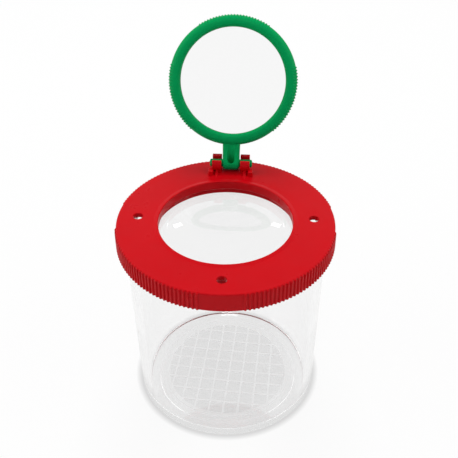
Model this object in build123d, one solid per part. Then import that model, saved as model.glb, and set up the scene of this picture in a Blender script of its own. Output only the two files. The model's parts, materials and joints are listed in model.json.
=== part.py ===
from build123d import *
from math import cos, pi, radians, sin, sqrt, tan
import os

# Bug catcher jar: a clear beaker, a red push-on lid with a lens and air holes, and a green flip-up
# magnifier that snaps into two clips on the lid. Millimetres. The origin is the middle of the
# surface that the jar stands on, +Z is up and the hinge is at the back, at +Y.

# Jar
JAR_BASE_RADIUS = 32.0
JAR_RIM_RADIUS = 33.5
JAR_HEIGHT = 68.2
JAR_WALL = 2.8
JAR_RIM_ROUND = 0.5
JAR_BASE_ROUND = 0.8
FLOOR_THICKNESS = 0.8
FLOOR_CORNER_ROUND = 1.0
FOOT_HEIGHT = 0.3
FOOT_WIDTH = 6.6

# Measuring grid moulded on the jar's floor, set off a little from the jar's axis and turned
GRID_PITCH = 5.0
GRID_RADIUS = 21.8
GRID_LINE_WIDTH = 0.8
GRID_RELIEF = 0.2
GRID_RING_WIDTH = 1.4
GRID_TURN = -3.6
GRID_ACROSS = 1.1
GRID_ALONG = -1.6

# Lid
LID_CLEARANCE = 0.3
LID_HEIGHT = 6.8
PLATE_THICKNESS = 1.8
SKIRT_WALL = 2.1
LID_EDGE_ROUND = 0.9
LID_CORNER_ROUND = 0.3

# Grip on the skirt: ribs between plain pads at the front, at both sides and at the back. The front
# pad is turned a little from the hinge's opposite side, and the side pads are set off from it.
FRONT_ANGLE = -88.4
SIDE_PAD_ANGLE = 93.4
PAD_ANGLE = 23.2
RIB_PITCH = 2.195
FRONT_RIBS = 33
BACK_RIBS = 30
RIB_WIDTH = 0.8
RIB_HEIGHT = 0.4

# Air holes in the lid, each at the middle of a pad
AIR_HOLE_RADIUS = 1.6
AIR_HOLE_CIRCLE = 29.1

# Opening in the lid, and the lens that snaps in below it
OPENING_RADIUS = 22.1
OPENING_ROUND = 0.9
LENS_DEPTH = 3.2
LENS_LAP = 1.5
LENS_EDGE = 1.7
LENS_CROWN = 1.8
LENS_BELLY = 0.8
LENS_FLAT = 2.2
LENS_CLEARANCE = 0.1
SEAT_WALL = 1.0
BEAD_COUNT = 4
BEAD_ARC = 16.0
BEAD_DEPTH = 0.5
BEAD_HEIGHT = 0.9

# Hinge clips on the lid
PIN_FROM_AXIS = 30.0
PIN_RADIUS = 1.35
PIN_FIT = 0.08
PIN_PROUD = 0.85
PIN_END_ROUND = 0.5
CLIP_WIDTH = 3.3
CLIP_WALL = 1.2
CLIP_MOUTH = 2.3
CLIP_JAW_RISE = 1.9
CLIP_POST_RISE = 2.2
CLIP_TIP_ROUND = 0.25
CLIP_STEM = 3.0
HINGE_SIDE_GAP = 0.2
GUSSET_WIDTH = 1.0
GUSSET_RISE = 1.5
GUSSET_FRONT = 5.8
GUSSET_REAR = 4.4
BLOCK_WIDTH = 1.2
BLOCK_HEIGHT = 1.7
BLOCK_FRONT = 4.3
BLOCK_REAR = 1.8
BLOCK_ROUND = 0.3

# Magnifier
OPEN_ANGLE = 117.5
CLOSED_GAP = 0.3
ARM_LENGTH = 28.7
ARM_WIDTH = 6.0
ARM_FLARE = 0.1
ARM_WAIST = 0.05
ARM_THICKNESS = 4.6
ARM_CORNER_ROUND = 2.0
SLOT_LENGTH = 6.8
SLOT_WIDTH = 2.5
SLOT_DEPTH = 2.6
SLOT_SLOPE = 20.0
RING_INNER = 18.3
RING_WIDTH = 3.95
RING_THICKNESS = 4.8
RING_OUTER_ROUND = 1.7
RING_INNER_ROUND = 1.0

# Knurl on the ring's edge: the middle of each zone, and its number of teeth
KNURL_HEIGHT = 0.3
KNURL_WIDTH = 0.6
KNURL_STEP = 2.7
KNURL_ZONES = ((-90.0, 25), (18.0, 24), (162.0, 24))

# Lens of the magnifier, held in a groove inside the ring
GLASS_LAP = 1.0
GLASS_EDGE = 1.6
GLASS_CROWN = 1.5
GLASS_FLAT = 0.2

# Pieces that are fused sink into each other, and cuts run past the faces they open, by this much
OVERRUN = 0.5

# Heights and radii that follow
FLOOR_TOP = FOOT_HEIGHT + FLOOR_THICKNESS
LID_TOP = JAR_HEIGHT + PLATE_THICKNESS
LID_BOTTOM = LID_TOP - LID_HEIGHT
SKIRT_INNER = JAR_RIM_RADIUS + LID_CLEARANCE
SKIRT_OUTER = SKIRT_INNER + SKIRT_WALL
LENS_RADIUS = OPENING_RADIUS + LENS_LAP
LENS_TOP = LID_TOP - LENS_DEPTH
SEAT_INNER = LENS_RADIUS + LENS_CLEARANCE
SEAT_OUTER = SEAT_INNER + SEAT_WALL
BEAD_TOP = LENS_TOP - LENS_EDGE - LENS_CLEARANCE
PIN_HEIGHT = LID_TOP + RING_THICKNESS / 2 + CLOSED_GAP
CLIP_BORE = PIN_RADIUS + PIN_FIT
CLIP_OUTER = CLIP_BORE + CLIP_WALL
CLIP_INSIDE = ARM_WIDTH / 2 + ARM_FLARE + HINGE_SIDE_GAP
CLIP_OUTSIDE = CLIP_INSIDE + CLIP_WIDTH
PIN_HALF = CLIP_OUTSIDE + PIN_PROUD
RING_BASE = RING_INNER + RING_WIDTH
RING_CENTRE = PIN_FROM_AXIS - ARM_LENGTH
GLASS_RADIUS = RING_INNER + GLASS_LAP
GROOVE_RADIUS = GLASS_RADIUS + LENS_CLEARANCE


def outline(corners):
    """An upright face from (across, up, round) corners, each rounded by its own radius."""
    spots = [Vector(across, up) for across, up, _ in corners]
    bends = []
    for i, (_, _, radius) in enumerate(corners):
        back = (spots[i - 1] - spots[i]).normalized()
        ahead = (spots[(i + 1) % len(spots)] - spots[i]).normalized()
        half = radians(back.get_angle(ahead)) / 2
        reach = radius / tan(half)
        middle = (back + ahead).normalized() * (radius / sin(half) - radius)
        bends.append((spots[i] + back * reach, spots[i] + middle, spots[i] + ahead * reach, radius))
    with BuildSketch(Plane.XZ) as face:
        with BuildLine():
            for i, (start, middle, finish, radius) in enumerate(bends):
                if radius > 0:
                    ThreePointArc(start, middle, finish)
                Line(finish, bends[(i + 1) % len(bends)][0])
        make_face()
    return face.sketch


def spun(corners, arc=360):
    """A ring or disc about the Z axis, or an arc of one, from the corners of its half section."""
    return revolve(outline(corners), Axis.Z, arc)


def at_angle(radius, angle):
    """The point of a circle about the Z axis at an angle."""
    return Vector(radius * cos(radians(angle)), radius * sin(radians(angle)))


def toothed_disc(base, height, width, angles, bottom, top):
    """A disc with a rounded tooth at each of the rising angles."""
    spread = 90 * width / (pi * base)
    with BuildSketch(Plane.XY.offset(bottom)) as face:
        with BuildLine():
            for i, angle in enumerate(angles):
                following = angles[(i + 1) % len(angles)]
                if following <= angle:
                    following += 360
                leave = at_angle(base, angle + spread)
                arrive = at_angle(base, following - spread)
                ThreePointArc(at_angle(base, angle - spread), at_angle(base + height, angle), leave)
                ThreePointArc(leave, at_angle(base, (angle + following) / 2), arrive)
        make_face()
    return extrude(face.sketch, amount=top - bottom)


def half_way_rise(reach, crown):
    """Height of a dome over its edge, half way out from its middle."""
    curve = (reach ** 2 + crown ** 2) / (2 * crown)
    return crown - curve + sqrt(curve ** 2 - reach ** 2 / 4)


def lens(radius, edge, crown, belly, reach, middle):
    """A lens at a height on the Z axis, domed above and below out to a reach, with a flat rim."""
    top = middle + edge / 2
    bottom = middle - edge / 2
    above = top + half_way_rise(reach, crown)
    below = bottom - half_way_rise(reach, belly)
    with BuildSketch(Plane.XZ) as face:
        with BuildLine():
            Line((0, bottom - belly), (0, top + crown))
            ThreePointArc((0, top + crown), (reach / 2, above), (reach, top))
            Line((reach, top), (radius, top))
            Line((radius, top), (radius, bottom))
            Line((radius, bottom), (reach, bottom))
            ThreePointArc((reach, bottom), (reach / 2, below), (0, bottom - belly))
        make_face()
    return revolve(face.sketch, Axis.Z)


def jar_radius(height):
    """Outside radius of the jar's tapered wall at a height."""
    return JAR_BASE_RADIUS + (JAR_RIM_RADIUS - JAR_BASE_RADIUS) * height / JAR_HEIGHT


def floor_grid():
    """Raised lines on the jar's floor, inside a raised ring."""
    reach = GRID_RADIUS - GRID_LINE_WIDTH
    steps = int(reach / GRID_PITCH) + 1
    outer = GRID_RADIUS + GRID_RING_WIDTH
    with BuildSketch(Plane.XY.offset(FLOOR_TOP - GRID_RELIEF)) as lines:
        for turn, offset in ((GRID_TURN, GRID_ALONG), (GRID_TURN + 90, -GRID_ACROSS)):
            places = [offset + GRID_PITCH * step for step in range(-steps, steps + 1)]
            for place in places:
                if abs(place) < reach:
                    with Locations(Location((0, 0), turn) * Location((0, place))):
                        Rectangle(2 * outer, GRID_LINE_WIDTH)
        Circle(GRID_RADIUS + GRID_RING_WIDTH / 2, mode=Mode.INTERSECT)
        add(Sketch() + Circle(outer, mode=Mode.PRIVATE) - Circle(GRID_RADIUS, mode=Mode.PRIVATE))
    return extrude(lines.sketch, amount=2 * GRID_RELIEF)


def make_jar():
    """The clear beaker: a tapered wall, a floor raised on a foot ring, and the grid."""
    rim_round = min(JAR_RIM_ROUND, JAR_WALL / 3)
    foot_inner = JAR_BASE_RADIUS - FOOT_WIDTH
    shell = spun([
        (0, FOOT_HEIGHT, 0),
        (foot_inner, FOOT_HEIGHT, 0),
        (foot_inner, 0, 0),
        (JAR_BASE_RADIUS, 0, JAR_BASE_ROUND),
        (JAR_RIM_RADIUS, JAR_HEIGHT, rim_round),
        (JAR_RIM_RADIUS - JAR_WALL, JAR_HEIGHT, rim_round),
        (jar_radius(FLOOR_TOP) - JAR_WALL, FLOOR_TOP, FLOOR_CORNER_ROUND),
        (0, FLOOR_TOP, 0),
    ])
    return shell + floor_grid()


def rib_angles():
    """The grip ribs' places, in rising order."""
    front = [PAD_ANGLE / 2 + RIB_PITCH * rib for rib in range(FRONT_RIBS)]
    back = [SIDE_PAD_ANGLE + PAD_ANGLE / 2 + RIB_PITCH * rib for rib in range(BACK_RIBS)]
    one_side = front + back
    other_side = [-angle for angle in reversed(one_side)]
    return [FRONT_ANGLE + angle for angle in other_side + one_side]


def lid_shell():
    """Plate, ribbed skirt and lens seat."""
    lowest = LID_BOTTOM - OVERRUN
    ribbed = toothed_disc(SKIRT_OUTER, RIB_HEIGHT, RIB_WIDTH, rib_angles(), lowest, LID_TOP + OVERRUN)
    plate_under = LID_TOP - PLATE_THICKNESS
    edge = SKIRT_OUTER + RIB_HEIGHT + OVERRUN
    section = spun([
        (OPENING_RADIUS, LID_TOP, OPENING_ROUND),
        (edge, LID_TOP, LID_EDGE_ROUND + OVERRUN),
        (edge, LID_BOTTOM, 0),
        (SKIRT_INNER, LID_BOTTOM, LID_CORNER_ROUND),
        (SKIRT_INNER, plate_under, LID_CORNER_ROUND),
        (SEAT_OUTER, plate_under, LID_CORNER_ROUND),
        (SEAT_OUTER, LID_BOTTOM, LID_CORNER_ROUND),
        (SEAT_INNER, LID_BOTTOM, LID_CORNER_ROUND),
        (SEAT_INNER, LENS_TOP, 0),
        (OPENING_RADIUS, LENS_TOP, 0),
    ])
    return section & ribbed


def snap_beads():
    """Short beads in the seat that hold the lens up against the lid."""
    bead = spun([
        (SEAT_INNER + SEAT_WALL / 2, BEAD_TOP, 0),
        (SEAT_INNER - BEAD_DEPTH, BEAD_TOP, 0),
        (SEAT_INNER + SEAT_WALL / 2, BEAD_TOP - BEAD_HEIGHT, 0),
    ], BEAD_ARC)
    spacing = 360 / BEAD_COUNT
    return [bead.rotate(Axis.Z, spacing * (i + 0.5) - BEAD_ARC / 2) for i in range(BEAD_COUNT)]


def hinge_clip():
    """One upward-open snap clip with its gusset and side block, on the +X side of the arm."""
    inside = Plane.YZ.offset(CLIP_INSIDE)
    highest = max(CLIP_OUTER, CLIP_POST_RISE)
    with BuildSketch(inside) as loop:
        with Locations((PIN_FROM_AXIS, PIN_HEIGHT)):
            Circle(CLIP_OUTER)
            Rectangle(CLIP_STEM, PIN_HEIGHT - LID_TOP + OVERRUN, align=(Align.CENTER, Align.MAX))
            Rectangle(CLIP_OUTER, CLIP_POST_RISE, align=Align.MIN)
            Circle(CLIP_BORE, mode=Mode.SUBTRACT)
            Rectangle(CLIP_MOUTH, highest, align=(Align.CENTER, Align.MIN), mode=Mode.SUBTRACT)
        with Locations((PIN_FROM_AXIS, PIN_HEIGHT + CLIP_JAW_RISE)):
            Rectangle(CLIP_OUTER, CLIP_OUTER, align=(Align.MAX, Align.MIN), mode=Mode.SUBTRACT)
        with Locations((PIN_FROM_AXIS, PIN_HEIGHT + CLIP_POST_RISE)):
            Rectangle(CLIP_OUTER, CLIP_OUTER, align=Align.MIN, mode=Mode.SUBTRACT)
        tops = loop.vertices().group_by(Axis.Y)
        fillet(tops[-1] + tops[-2], CLIP_TIP_ROUND)
    with BuildSketch(inside.offset((CLIP_WIDTH - GUSSET_WIDTH) / 2)) as web:
        with BuildLine():
            Polyline(
                (PIN_FROM_AXIS - GUSSET_FRONT, LID_TOP),
                (PIN_FROM_AXIS - GUSSET_FRONT, LID_TOP - OVERRUN),
                (PIN_FROM_AXIS + GUSSET_REAR, LID_TOP - OVERRUN),
                (PIN_FROM_AXIS + GUSSET_REAR, LID_TOP),
                (PIN_FROM_AXIS + CLIP_STEM / 2, LID_TOP + GUSSET_RISE),
                (PIN_FROM_AXIS - CLIP_STEM / 2, LID_TOP + GUSSET_RISE),
                close=True,
            )
        make_face()
        with Locations((PIN_FROM_AXIS, PIN_HEIGHT)):
            Circle(CLIP_BORE, mode=Mode.SUBTRACT)
    block = Pos(CLIP_OUTSIDE - OVERRUN, PIN_FROM_AXIS - BLOCK_FRONT, LID_TOP - OVERRUN) * Box(
        BLOCK_WIDTH + OVERRUN,
        BLOCK_FRONT - BLOCK_REAR,
        BLOCK_HEIGHT + OVERRUN,
        align=Align.MIN,
    )
    block = fillet(block.edges().group_by(Axis.Z)[-1], BLOCK_ROUND)
    clip = extrude(loop.sketch, amount=CLIP_WIDTH)
    return clip + extrude(web.sketch, amount=GUSSET_WIDTH) + block


def make_lid():
    """The red lid: shell, snap beads, hinge clips and air holes."""
    lid = lid_shell() + snap_beads()
    clip = hinge_clip()
    lid += [clip, mirror(clip, Plane.YZ)]
    hole = Cylinder(AIR_HOLE_RADIUS, PLATE_THICKNESS + 2 * OVERRUN)
    for offset in (0, SIDE_PAD_ANGLE, -SIDE_PAD_ANGLE):
        place = at_angle(AIR_HOLE_CIRCLE, FRONT_ANGLE + offset)
        lid -= Pos(place.X, place.Y, LID_TOP - PLATE_THICKNESS / 2) * hole
    return lid


def make_lid_lens():
    """The clear lens in the lid's seat."""
    reach = OPENING_RADIUS - LENS_FLAT
    return lens(LENS_RADIUS, LENS_EDGE, LENS_CROWN, LENS_BELLY, reach, LENS_TOP - LENS_EDGE / 2)


def magnifier_ring():
    """The knurled ring with its lens groove, about the Z axis."""
    angles = []
    for middle, teeth in KNURL_ZONES:
        angles += [middle + KNURL_STEP * (tooth - (teeth - 1) / 2) for tooth in range(teeth)]
    toothed = toothed_disc(RING_BASE, KNURL_HEIGHT, KNURL_WIDTH, angles, -RING_THICKNESS, RING_THICKNESS)
    edge = RING_BASE + KNURL_HEIGHT + OVERRUN
    half = RING_THICKNESS / 2
    groove = GLASS_EDGE / 2 + LENS_CLEARANCE / 2
    section = spun([
        (RING_INNER, -half, RING_INNER_ROUND),
        (edge, -half, RING_OUTER_ROUND + OVERRUN),
        (edge, half, RING_OUTER_ROUND + OVERRUN),
        (RING_INNER, half, RING_INNER_ROUND),
        (RING_INNER, groove, 0),
        (GROOVE_RADIUS, groove, 0),
        (GROOVE_RADIUS, -groove, 0),
        (RING_INNER, -groove, 0),
    ])
    return section & toothed


def magnifier_arm():
    """The waisted arm from the ring to its rounded heel at the pin."""
    root = RING_CENTRE + (GROOVE_RADIUS + RING_BASE) / 2
    heel = PIN_FROM_AXIS + ARM_THICKNESS / 2
    wide = ARM_WIDTH / 2 + ARM_FLARE
    narrow = ARM_WIDTH / 2 - ARM_WAIST
    end = ARM_WIDTH / 2
    with BuildSketch(Plane.XY.offset(PIN_HEIGHT - ARM_THICKNESS)) as front:
        with BuildLine():
            Line((-wide, root), (wide, root))
            ThreePointArc((wide, root), (narrow, (root + heel) / 2), (end, heel))
            Line((end, heel), (-end, heel))
            ThreePointArc((-end, heel), (-narrow, (root + heel) / 2), (-wide, root))
        make_face()
        fillet(front.vertices().group_by(Axis.Y)[-1], ARM_CORNER_ROUND)
    with BuildSketch(Plane.YZ.offset(-ARM_WIDTH)) as side:
        with Locations((PIN_FROM_AXIS, PIN_HEIGHT)):
            Circle(ARM_THICKNESS / 2)
            Rectangle(PIN_FROM_AXIS - root, ARM_THICKNESS, align=(Align.MAX, Align.CENTER))
    return extrude(front.sketch, amount=2 * ARM_THICKNESS) & extrude(side.sketch, amount=2 * ARM_WIDTH)


def hinge_pin():
    """The cross pin at the arm's heel, with rounded ends."""
    pin = Cylinder(PIN_RADIUS, 2 * PIN_HALF, rotation=(0, 90, 0))
    return Pos(0, PIN_FROM_AXIS, PIN_HEIGHT) * fillet(pin.edges().filter_by(GeomType.CIRCLE), PIN_END_ROUND)


def opened(piece):
    """Swing a piece of the magnifier from lying on the lid to standing open."""
    return piece.rotate(Axis((0, PIN_FROM_AXIS, PIN_HEIGHT), (1, 0, 0)), -OPEN_ANGLE)


def make_magnifier_frame():
    """Ring, arm and pin in one moulding, with a slot in the arm's face that deepens to the heel."""
    frame = Pos(0, RING_CENTRE, PIN_HEIGHT) * magnifier_ring() + magnifier_arm() + hinge_pin()
    deep_end = Pos(0, PIN_FROM_AXIS, PIN_HEIGHT - ARM_THICKNESS / 2 + SLOT_DEPTH) * Rot(SLOT_SLOPE, 0, 0)
    slot = extrude(SlotOverall(SLOT_LENGTH, SLOT_WIDTH, rotation=90), amount=-SLOT_DEPTH - OVERRUN)
    return opened(frame - deep_end * Pos(0, -SLOT_LENGTH / 2, 0) * slot)


def make_magnifier_lens():
    """The clear lens in the magnifier's ring."""
    glass = lens(GLASS_RADIUS, GLASS_EDGE, GLASS_CROWN, GLASS_CROWN, RING_INNER - GLASS_FLAT, 0)
    return opened(Pos(0, RING_CENTRE, PIN_HEIGHT) * glass)


PIECES = {
    "jar": make_jar,
    "lid": make_lid,
    "lid_lens": make_lid_lens,
    "magnifier_frame": make_magnifier_frame,
    "magnifier_lens": make_magnifier_lens,
}

os.makedirs("parts", exist_ok=True)
for name, make in PIECES.items():
    export_step(make(), f"parts/{name}.step")
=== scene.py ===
import json
from math import atan2, cos, pi, radians, sin, sqrt, tan

import bmesh
import bpy
from bpy.props import FloatProperty, FloatVectorProperty, IntProperty, PointerProperty
from bpy.types import Operator, Panel, PropertyGroup
from mathutils import Matrix, Vector


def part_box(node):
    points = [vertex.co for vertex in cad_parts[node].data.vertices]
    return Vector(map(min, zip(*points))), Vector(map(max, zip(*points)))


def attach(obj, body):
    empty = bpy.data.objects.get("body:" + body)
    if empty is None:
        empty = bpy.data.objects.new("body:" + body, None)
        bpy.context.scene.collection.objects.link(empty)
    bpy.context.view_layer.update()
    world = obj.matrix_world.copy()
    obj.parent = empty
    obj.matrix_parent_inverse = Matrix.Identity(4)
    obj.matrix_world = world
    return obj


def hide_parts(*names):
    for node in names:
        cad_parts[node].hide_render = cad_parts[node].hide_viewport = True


bl_info = {
    "name": "Bug Catcher Jar",
    "version": (1, 0, 0),
    "blender": (4, 5, 0),
    "location": "View3D > Sidebar > Bug Jar",
    "description": "Builds a clear beaker with a ribbed lid, two lenses and a flip-up magnifier",
    "category": "Object",
}

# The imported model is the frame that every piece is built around, in metres.
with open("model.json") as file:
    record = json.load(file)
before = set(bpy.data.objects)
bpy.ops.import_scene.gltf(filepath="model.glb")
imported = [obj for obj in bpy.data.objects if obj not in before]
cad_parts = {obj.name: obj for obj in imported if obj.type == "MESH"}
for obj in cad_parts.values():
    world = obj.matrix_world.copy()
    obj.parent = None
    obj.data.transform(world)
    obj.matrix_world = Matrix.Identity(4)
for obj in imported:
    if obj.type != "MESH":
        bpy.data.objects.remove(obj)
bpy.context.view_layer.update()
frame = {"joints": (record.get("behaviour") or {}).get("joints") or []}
MM = 0.001

JAR_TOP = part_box("jar")[1]
LID_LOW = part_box("lid")[0]
LID_LENS_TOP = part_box("lid_lens")[1]
GLASS_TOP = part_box("magnifier_lens")[1]
FLIP = next(joint for joint in frame["joints"] if joint["name"] == "magnifier_flip")
PIN = Vector(FLIP["pos_m"])
OPEN_ANGLE = radians(-FLIP["range_deg"][0])

# Axes of a prism that runs along X, with its outline in Y and Z
ALONG_X = Matrix(((0, 0, 1, 0), (1, 0, 0, 0), (0, 1, 0, 0), (0, 0, 0, 1)))

# How finely round forms are cut
PLAIN_COLUMNS = 192
ROUND_STEPS = 5
SOFT_STEPS = 3
RIB_STEPS = 8
SHARP_ANGLE = radians(38)

# Cuts run past the faces they open, and fused pieces sink into each other, by this much
OVERRUN = 0.5 * MM

# Points of an outline closer than this are one point
NEAR = 0.02 * MM

# Heights closer than this are level
LEVEL = 1e-9


def length(name, description, default):
    """A size in metres."""
    return FloatProperty(
        name=name, description=description, default=default, min=0.0, subtype="DISTANCE", precision=5
    )


def offset(name, description, default):
    """A distance in metres that can be to either side."""
    return FloatProperty(
        name=name, description=description, default=default, subtype="DISTANCE", precision=5
    )


def turn(name, description, degrees):
    """An angle, given in degrees."""
    return FloatProperty(name=name, description=description, default=radians(degrees), subtype="ANGLE")


def share(name, description, default):
    """A plain number from 0 to 1."""
    return FloatProperty(name=name, description=description, default=default, min=0.0, max=1.0)


def colour(name, description, default):
    """A linear colour."""
    return FloatVectorProperty(
        name=name, description=description, default=default, min=0.0, max=1.0, subtype="COLOR"
    )


class JarSizes(PropertyGroup):
    """Sizes of the clear beaker."""

    height: length("Height", "From the table to the rim", JAR_TOP.z)
    rim_radius: length("Rim radius", "Outside radius at the rim", JAR_TOP.x)
    base_radius: length("Base radius", "Outside radius at the table", 32.0 * MM)
    wall: length("Wall", "Thickness of the wall", 2.8 * MM)
    rim_round: length("Rim round", "Rounding of the rim's edges", 0.5 * MM)
    base_round: length("Base round", "Rounding where the wall meets the table", 0.8 * MM)
    floor_top: length("Floor top", "Height of the floor inside", 1.1 * MM)
    corner_round: length("Corner round", "Rounding between the floor and the wall", 1.0 * MM)
    foot_height: length("Foot height", "How far the foot ring lifts the floor", 0.3 * MM)
    foot_width: length("Foot width", "Width of the foot ring", 6.6 * MM)
    foot_round: length("Foot round", "Rounding of the foot ring's inner edges", 0.12 * MM)
    grid_pitch: length("Grid pitch", "Side of a square of the measuring grid", 5.0 * MM)
    grid_radius: length("Grid radius", "Inner radius of the ring around the grid", 21.8 * MM)
    grid_ring: length("Grid ring", "Width of the ring around the grid", 1.4 * MM)
    line_width: length("Line width", "Width of a grid line", 0.8 * MM)
    line_height: length("Line height", "How far a grid line stands up", 0.2 * MM)
    line_round: length("Line round", "Rounding of a grid line's edges", 0.2 * MM)
    grid_turn: turn("Grid turn", "How far the grid is turned from the hinge", -3.6)
    grid_across: offset("Grid across", "How far the grid is set off to the right", 1.1 * MM)
    grid_along: offset("Grid along", "How far the grid is set off to the back", -1.6 * MM)


class LidSizes(PropertyGroup):
    """Sizes of the red lid."""

    plate: length("Plate", "Thickness of the lid's top", 1.8 * MM)
    bottom: length("Bottom", "Height of the skirt's lower edge", LID_LOW.z)
    clearance: length("Clearance", "Gap between the skirt and the jar's rim", 0.3 * MM)
    skirt_radius: length("Skirt radius", "Outside radius between the ribs", 35.9 * MM)
    edge_round: length("Edge round", "Rounding of the outer top edge", 0.5 * MM)
    lip_round: length("Lip round", "Rounding of the small edges", 0.3 * MM)
    front_angle: turn("Front angle", "Where the front pad and its air hole are", -88.4)
    side_angle: turn("Side angle", "From the front pad to each side pad", 93.4)
    pad_angle: turn("Pad angle", "Width of a plain pad between its ribs", 23.2)
    rib_pitch: turn("Rib pitch", "Angle from rib to rib", 2.195)
    front_ribs: IntProperty(name="Front ribs", description="Ribs beside the front pad", default=33, min=1)
    back_ribs: IntProperty(name="Back ribs", description="Ribs beside the back pad", default=30, min=1)
    rib_width: length("Rib width", "Width of a grip rib", 0.8 * MM)
    rib_height: length("Rib height", "How far a grip rib stands out", 0.4 * MM)
    rib_fade: length("Rib fade", "How far from the top a rib takes to stand out fully", 0.9 * MM)
    hole_radius: length("Air hole radius", "Radius of an air hole", 1.6 * MM)
    hole_circle: length("Air hole circle", "Distance of the air holes from the axis", 29.1 * MM)
    hole_round: length("Air hole round", "Rounding of the air holes' edges", 0.25 * MM)
    opening_radius: length("Opening radius", "Radius of the viewing opening", 22.1 * MM)
    rim_rise: length("Rim rise", "How far the lid rises to the opening's edge", 0.35 * MM)
    rim_width: length("Rim width", "Width of that rise", 1.6 * MM)
    rim_flow: length("Rim flow", "Rounding at the foot of that rise", 2.5 * MM)
    opening_round: length("Opening round", "Rounding of the opening's top edge", 0.35 * MM)
    lens_depth: length("Lens depth", "From the lid's top to the ledge over the lens", 3.2 * MM)
    ledge_round: length("Ledge round", "Rounding of the ledge's lower edge", 0.6 * MM)
    seat_gap: length("Seat gap", "Gap between the lens and its seat", 0.1 * MM)
    seat_wall: length("Seat wall", "Thickness of the lens seat", 1.0 * MM)
    beads: IntProperty(name="Beads", description="Snap beads that hold the lens", default=4, min=0)
    bead_arc: turn("Bead arc", "Angle that a snap bead spans", 16.0)
    bead_depth: length("Bead depth", "How far a snap bead stands in", 0.5 * MM)
    bead_height: length("Bead height", "Height of a snap bead", 0.9 * MM)


class HingeSizes(PropertyGroup):
    """Sizes of the snap clips and the pin in them."""

    pin_radius: length("Pin radius", "Radius of the hinge pin", 1.35 * MM)
    pin_fit: length("Pin fit", "Gap between the pin and a clip", 0.08 * MM)
    pin_proud: length("Pin proud", "How far the pin's ends stand out of the clips", 0.85 * MM)
    pin_round: length("Pin round", "Rounding of the pin's ends", 0.5 * MM)
    clip_width: length("Clip width", "Width of a clip along the pin", 3.3 * MM)
    clip_wall: length("Clip wall", "Thickness of a clip's jaws", 1.2 * MM)
    clip_mouth: length("Clip mouth", "Width of the mouth that the pin snaps through", 2.3 * MM)
    clip_stem: length("Clip stem", "Width of the stem under a clip", 3.0 * MM)
    jaw_rise: length("Jaw rise", "Height of a clip's front jaw above the pin's middle", 1.9 * MM)
    post_rise: length("Post rise", "Height of a clip's rear post above the pin's middle", 2.2 * MM)
    side_gap: length("Side gap", "Gap between the arm and a clip", 0.2 * MM)
    gusset_width: length("Gusset width", "Thickness of the rib that props a clip", 1.0 * MM)
    gusset_rise: length("Gusset rise", "Height of that rib inside the clip", 1.5 * MM)
    gusset_front: length("Gusset front", "How far that rib reaches to the front of the pin", 5.8 * MM)
    gusset_rear: length("Gusset rear", "How far that rib reaches behind the pin", 4.4 * MM)
    block_width: length("Block width", "Width of the block beside a clip", 1.2 * MM)
    block_height: length("Block height", "Height of that block", 1.7 * MM)
    block_front: length("Block front", "From the pin to the front of that block", 4.3 * MM)
    block_rear: length("Block rear", "From the pin to the back of that block", 1.8 * MM)
    corner: length("Corner", "Rounding of a clip's corners seen from the side", 0.3 * MM)
    soft: length("Soft edge", "Rounding of the edges along a clip", 0.16 * MM)


class MagnifierSizes(PropertyGroup):
    """Sizes of the green frame."""

    arm_length: length("Arm length", "From the pin to the middle of the ring", 28.7 * MM)
    arm_width: length("Arm width", "Width of the arm at its heel", 6.0 * MM)
    arm_flare: length("Arm flare", "How much wider each side is at the ring", 0.1 * MM)
    arm_waist: length("Arm waist", "How far each side draws in half way", 0.05 * MM)
    arm_thickness: length("Arm thickness", "Thickness of the arm at its heel", 4.6 * MM)
    arm_step: length("Arm step", "How far the arm's face falls back towards the ring", 1.2 * MM)
    arm_round: length("Arm round", "Rounding of the arm's long edges", 0.7 * MM)
    heel_round: length("Heel round", "Rounding of the heel's corners", 1.4 * MM)
    slot_length: length("Slot length", "Length of the slot in the arm's face", 6.8 * MM)
    slot_width: length("Slot width", "Width of that slot", 2.5 * MM)
    slot_depth: length("Slot depth", "Depth of that slot along the arm", 1.1 * MM)
    slot_pit: length("Slot pit", "How much deeper it is at the heel", 1.8 * MM)
    slot_round: length("Slot round", "Rounding of the slot's floor", 0.7 * MM)
    ring_inner: length("Ring inner radius", "Radius of the ring's opening", 18.3 * MM)
    ring_width: length("Ring width", "Width of the ring's face", 3.95 * MM)
    ring_thickness: length("Ring thickness", "Thickness of the ring", 4.8 * MM)
    outer_round: length("Outer round", "Rounding of the ring's outer edges", 2.2 * MM)
    inner_round: length("Inner round", "Rounding of the ring's inner edges", 1.3 * MM)
    groove_gap: length("Groove gap", "Gap between the lens and its groove", 0.1 * MM)
    knurl_height: length("Knurl height", "How far a tooth of the knurl stands out", 0.3 * MM)
    knurl_width: length("Knurl width", "Width of a tooth of the knurl", 0.6 * MM)
    knurl_step: turn("Knurl step", "Angle from tooth to tooth", 2.7)


class LensSizes(PropertyGroup):
    """Sizes of the two clear lenses."""

    lid_radius: length("Lid lens radius", "Radius of the lens in the lid", LID_LENS_TOP.x)
    lid_edge: length("Lid lens edge", "Thickness of that lens at its rim", 1.7 * MM)
    lid_crown: length("Lid lens crown", "How far its upper face is domed", 1.8 * MM)
    lid_belly: length("Lid lens belly", "How far its lower face is domed", 0.8 * MM)
    lid_flat: length("Lid lens flat", "Width of its flat rim", 3.7 * MM)
    glass_radius: length("Glass radius", "Radius of the magnifier's lens", GLASS_TOP.x)
    glass_edge: length("Glass edge", "Thickness of that lens at its rim", 1.6 * MM)
    glass_crown: length("Glass crown", "How far each of its faces is domed", 1.5 * MM)
    glass_flat: length("Glass flat", "Width of its flat rim", 1.2 * MM)
    rim_round: length("Lens rim round", "Rounding of the rims' edges", 0.15 * MM)


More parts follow.
